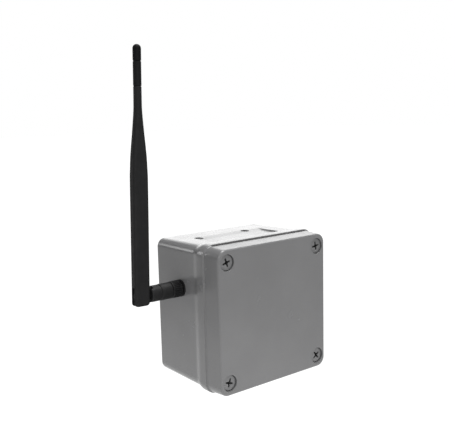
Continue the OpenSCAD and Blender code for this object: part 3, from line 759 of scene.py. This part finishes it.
def make_sleeve_and_tip():
    r = ROD_R + 0.05
    sleeve = lathe("antenna_sleeve_moulded", [
        (r - 0.4, SLEEVE_LOW), (r - 0.35, SLEEVE_LOW + 0.15), (r - 0.1, SLEEVE_LOW + 0.35),
        (r, SLEEVE_LOW + 0.7), (r, CAP_LOW - 0.7), (r - 0.1, CAP_LOW - 0.35), (r - 0.35, CAP_LOW - 0.15),
        (r - 0.4, CAP_LOW), (1.7, CAP_LOW), (1.7, SLEEVE_LOW)], ELBOW, 64, True)
    put(sleeve, "antenna_sleeve_moulded", "antenna_mast", "antenna_black", SHADED_SLEEVE_PLASTIC,
        "antenna_upper_sleeve")
    r = top = ROD_R + 0.1
    profile = [(1.7, CAP_LOW + 5), (1.7, CAP_LOW), (r - 0.4, CAP_LOW), (r - 0.35, CAP_LOW + 0.15),
               (r - 0.1, CAP_LOW + 0.35), (r, CAP_LOW + 0.8)]
    last = TIP_HEIGHT - top
    profile += [(r * math.cos(math.radians(a)) + 0.001, last + top * math.sin(math.radians(a)))
                for a in range(0, 90, 10)]
    profile.append((0.25, last + top - 0.005))
    tip = lathe("antenna_tip_moulded", profile, ELBOW, 64)
    put(tip, "antenna_tip_moulded", "antenna_mast", "cap_black", CAP_PLASTIC, "antenna_tip_cap")


# ---- Gland ----


def make_gland_cap():
    ribs, r = 12, 12.6

    def flute(radius, h, a):
        if radius < r - 0.3 or h > CAP_NEAR + 8.2:
            return radius
        wave = (0.5 + 0.5 * math.cos(ribs * a)) ** 3
        ends = min(1, max(0, (h - CAP_NEAR - 0.2) / 0.8), max(0, (CAP_NEAR + 8.2 - h) / 1.2))
        return radius + 0.58 * wave * min(1, ends)

    length = CAP_FAR - CAP_NEAR
    outer = [(r - 0.5, CAP_NEAR), (r - 0.1, CAP_NEAR + 0.2)]
    outer += [(r, CAP_NEAR + 0.6 + 0.7 * i) for i in range(12)]
    for a in range(10, 91, 10):
        s, c = math.sin(math.radians(a)), math.cos(math.radians(a))
        outer.append((8.3 + (r - 8.3) * c, CAP_NEAR + 8.3 + (length - 8.3) * s))
    inner = [(7.0, CAP_FAR), (6.5, CAP_FAR - 0.5), (6.5, CAP_NEAR + 8.6), (8.3, CAP_NEAR + 8.6),
             (8.3, CAP_NEAR + 7.2), (10.08, CAP_NEAR + 7.2), (10.08, CAP_NEAR + 0.4),
             (10.4, CAP_NEAR)]
    cap = lathe("gland_cap_fluted", outer + inner, GLAND, 12 * 14, True, flute)
    put(cap, "gland_cap_fluted", "gland_cap", "gland_grey", GLAND_GREY, "gland_cap_nut")


# ---- Carried-over nodes ----

FINISHES = {
    "lid_gasket": RUBBER, "lid_screw_retainers": RUBBER, "mounting_plate": ZINC,
    "plate_screws": ZINC, "board_standoffs": BRASS, "main_board": BOARD, "board_screws": ZINC,
    "processor_chip": CHIP, "processor_heat_sink": SINK, "memory_chips": CHIP, "radio_card": CARD,
    "radio_card_slot": IVORY, "radio_shield": TIN, "ethernet_jack": TIN, "ethernet_contacts": GOLD,
    "ethernet_transformer": CHIP, "power_terminal_block": TERMINAL, "power_terminal_screws": ZINC,
    "board_capacitors": BLUE, "power_inductor": CHIP, "status_lamps": LAMP, "reset_switch": CHIP,
    "reset_button": CAP_PLASTIC, "earth_screw": BRASS, "earth_washer": BRASS,
    # The bulkhead jack takes the black plating so its ring between the nut and the wall reads dark:
    # painted shade.
    "coax_pigtail": CAP_PLASTIC, "pigtail_plug": GOLD, "bulkhead_jack": NUT_BLACK,
    "bulkhead_seal": RUBBER, "bulkhead_insulator": PTFE, "bulkhead_contact": GOLD,
    "bulkhead_washer": NICKEL, "bulkhead_nut": NICKEL, "antenna_plug": BRASS,
    "antenna_plug_insulator": PTFE, "antenna_plug_pin": GOLD, "antenna_elbow_pin": STEEL,
    "antenna_radiator": BRASS, "antenna_choke": BRASS, "antenna_feed_cable": JACKET,
    "gland_body": GLAND_GREY, "gland_washer": RUBBER, "gland_nut": GLAND_GREY, "gland_seal": RUBBER,
    "gland_claw_ring": GLAND_GREY,
}
BEVELS = {"mounting_plate": 0.3, "processor_heat_sink": 0.15, "memory_chips": 0.15,
          "processor_chip": 0.15, "radio_shield": 0.3, "ethernet_jack": 0.3,
          "ethernet_transformer": 0.3, "power_terminal_block": 0.3, "power_inductor": 0.4,
          "board_capacitors": 0.5, "reset_switch": 0.2, "reset_button": 0.3, "gland_body": 0.4,
          "gland_nut": 0.4, "bulkhead_nut": 0.3, "board_standoffs": 0.25, "status_lamps": 0.15,
          "radio_card_slot": 0.2, "lid_gasket": 0.4}


def finish_nodes():
    for name, material in FINISHES.items():
        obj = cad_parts[name]
        obj.data.materials.clear()
        obj.data.materials.append(material)
        if name in BEVELS:
            edge = obj.modifiers.new("edges", "BEVEL")
            edge.width, edge.segments = BEVELS[name] * MM, 2
            edge.limit_method, edge.angle_limit = "ANGLE", math.radians(40)
            edge.harden_normals = True


# ---- Floor, light and background ----


def make_floor():
    """White to the camera, so it shows no shadow; as light, a pool fading outwards."""
    z = low("enclosure_base").z * MM
    mesh = bpy.data.meshes.new("floor")
    points, faces = [], [(0, 1, 2, 3)]
    for i, size in enumerate((0.1, 0.2, 0.4, 0.8, 1.6, 3.2, 8)):
        points += [(-size, -size, z), (size, -size, z), (size, size, z), (-size, size, z)]
        if i:
            k = 4 * i
            faces += [(k - 4 + j, k + j, k + (j + 1) % 4, k - 4 + (j + 1) % 4) for j in range(4)]
    mesh.from_pydata(points, [], faces)
    floor = from_mesh("floor", mesh)
    n = Nodes("floor_paper")
    n.shader.inputs["Specular IOR Level"].default_value = 0.1
    n.link(n.mix(n.noise(6, 3.0), (0.05, 0.05, 0.05), (0.06, 0.06, 0.06)),
           n.shader.inputs["Base Color"])
    n.link(n.spread(n.noise(30, 3.0), 0.3, 0.7, 0.85, 0.95), n.shader.inputs["Roughness"])
    n.shader.inputs["Emission Color"].default_value = (1, 1, 1, 1)
    apart = n.new("ShaderNodeVectorMath", operation="DISTANCE")
    apart.inputs[1].default_value = (-0.08, -0.15, z)
    n.link(n.coords, apart.inputs[0])
    glow = n.new("ShaderNodeMath", operation="MAXIMUM")
    n.link(n.spread(apart.outputs["Value"], 0.05, 0.35, 1.25, 0.66), glow.inputs[0])
    n.link(n.new("ShaderNodeLightPath").outputs["Is Camera Ray"], glow.inputs[1])
    n.link(glow.outputs[0], n.shader.inputs["Emission Strength"])
    floor.data.materials.append(n.material)


SKY = (((0.61, 0.78, 0.15), 0.80, 0.95, 2.6), ((-0.557, 0.776, 0.296), 0.982, 0.996, 6.6),
       ((-0.7, -0.7, 0.15), 0.7, 0.95, 1.0), ((0, -1, 0.2), 0.7, 0.95, 1.5),
       ((-1, 0, 0.2), 0.6, 0.95, 0.3))


def make_world():
    """White where the camera looks; as light, soft patches of sky from the SKY table, each
    a direction, the cosines where it starts and where it is full, and a strength."""
    world = bpy.data.worlds.new("studio")
    world.use_nodes = True
    tree = world.node_tree
    tree.nodes.clear()
    coords = tree.nodes.new("ShaderNodeTexCoord").outputs["Generated"]
    level = None
    for direction, start, full, strength in SKY:
        dot = tree.nodes.new("ShaderNodeVectorMath")
        dot.operation = "DOT_PRODUCT"
        dot.inputs[1].default_value = Vector(direction).normalized()
        tree.links.new(coords, dot.inputs[0])
        patch = tree.nodes.new("ShaderNodeMapRange")
        patch.interpolation_type = "SMOOTHSTEP"
        for slot, number in zip(range(1, 5), (start, full, 0.0, strength)):
            patch.inputs[slot].default_value = number
        tree.links.new(dot.outputs["Value"], patch.inputs[0])
        total = tree.nodes.new("ShaderNodeMath")
        total.inputs[1].default_value = 0.0
        tree.links.new(patch.outputs[0], total.inputs[0])
        if level:
            tree.links.new(level, total.inputs[1])
        level = total.outputs[0]
    lighting = tree.nodes.new("ShaderNodeBackground")
    seen = tree.nodes.new("ShaderNodeBackground")
    seen.inputs["Color"].default_value = (1, 1, 1, 1)
    tree.links.new(level, lighting.inputs["Strength"])
    mixed = tree.nodes.new("ShaderNodeMixShader")
    tree.links.new(tree.nodes.new("ShaderNodeLightPath").outputs["Is Camera Ray"], mixed.inputs[0])
    tree.links.new(lighting.outputs[0], mixed.inputs[1])
    tree.links.new(seen.outputs[0], mixed.inputs[2])
    tree.links.new(mixed.outputs[0], tree.nodes.new("ShaderNodeOutputWorld").inputs[0])
    bpy.context.scene.world = world


def make_sun():
    data = bpy.data.lights.new("overhead", "SUN")
    data.energy = 4.35
    data.angle = math.radians(42)
    sun = bpy.data.objects.new("overhead", data)
    bpy.context.scene.collection.objects.link(sun)
    sun.rotation_mode = "QUATERNION"
    sun.rotation_quaternion = Vector((-0.22, 0.06, -1)).to_track_quat("-Z", "Y")


def make_studio():
    make_floor()
    make_world()
    make_sun()
    bpy.context.scene.view_settings.view_transform = "Standard"


make_base()
make_lid()
make_lid_screws()
make_nut()
make_knuckle()
make_blade()
make_sleeve_and_tip()
make_gland_cap()
finish_nodes()
make_studio()
